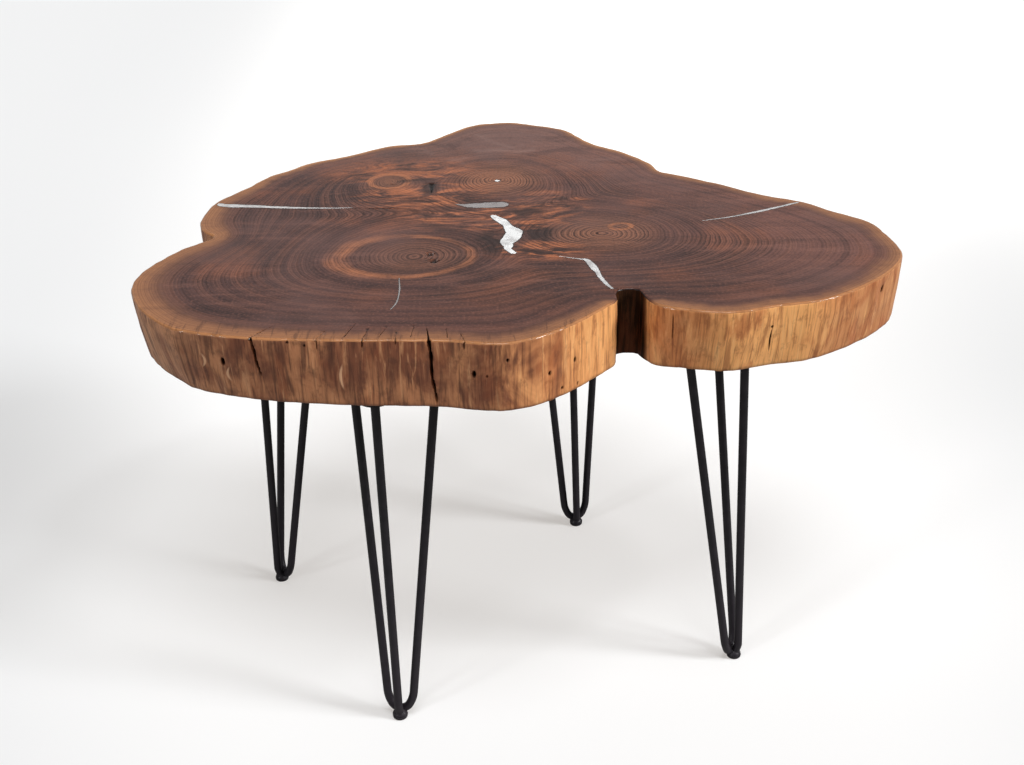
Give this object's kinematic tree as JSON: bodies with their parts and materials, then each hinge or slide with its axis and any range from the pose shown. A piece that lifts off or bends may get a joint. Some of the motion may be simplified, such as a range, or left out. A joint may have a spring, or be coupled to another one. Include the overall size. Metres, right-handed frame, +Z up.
{
  "type": "tree slice table",
  "caption": "Low table with a lobed cross-cut walnut slab, a live edge and pearl-white resin in its voids, standing on black steel hairpin legs with domed floor glides.",
  "frame": {"origin": "on the floor, under the middle of the slab's outline", "axes": "+X to the right and +Y away from the viewer of the picture, along the slab's length and width; +Z up"},
  "size_m": [0.8339, 0.7309, 0.482],
  "materials": {
    "walnut": "satin lacquer over dark heartwood with a golden sapwood edge",
    "pearl_resin": "polished pearl-white casting resin",
    "black_steel": "satin black powder coat",
    "black_nylon": "moulded, matt",
    "zinc_screw": "zinc plated"
  },
  "bodies": {
    "root": {"slab": "walnut", "resin_left_crack": "pearl_resin", "resin_centre_pool": "pearl_resin", "resin_centre_river": "pearl_resin", "resin_notch_crack": "pearl_resin", "resin_right_crack": "pearl_resin", "resin_front_check": "pearl_resin", "resin_pith_plug": "pearl_resin", "front_plate": "black_steel", "front_hairpin": "black_steel", "front_strut": "black_steel", "front_puck": "black_steel", "front_glide": "black_nylon", "front_screw_1": "zinc_screw", "front_screw_2": "zinc_screw", "front_screw_3": "zinc_screw", "front_screw_4": "zinc_screw", "right_plate": "black_steel", "right_hairpin": "black_steel", "right_strut": "black_steel", "right_puck": "black_steel", "right_glide": "black_nylon", "right_screw_1": "zinc_screw", "right_screw_2": "zinc_screw", "right_screw_3": "zinc_screw", "right_screw_4": "zinc_screw", "rear_plate": "black_steel", "rear_hairpin": "black_steel", "rear_strut": "black_steel", "rear_puck": "black_steel", "rear_glide": "black_nylon", "rear_screw_1": "zinc_screw", "rear_screw_2": "zinc_screw", "rear_screw_3": "zinc_screw", "rear_screw_4": "zinc_screw", "left_plate": "black_steel", "left_hairpin": "black_steel", "left_strut": "black_steel", "left_puck": "black_steel", "left_glide": "black_nylon", "left_screw_1": "zinc_screw", "left_screw_2": "zinc_screw", "left_screw_3": "zinc_screw", "left_screw_4": "zinc_screw"}
  },
  "joints": []
}
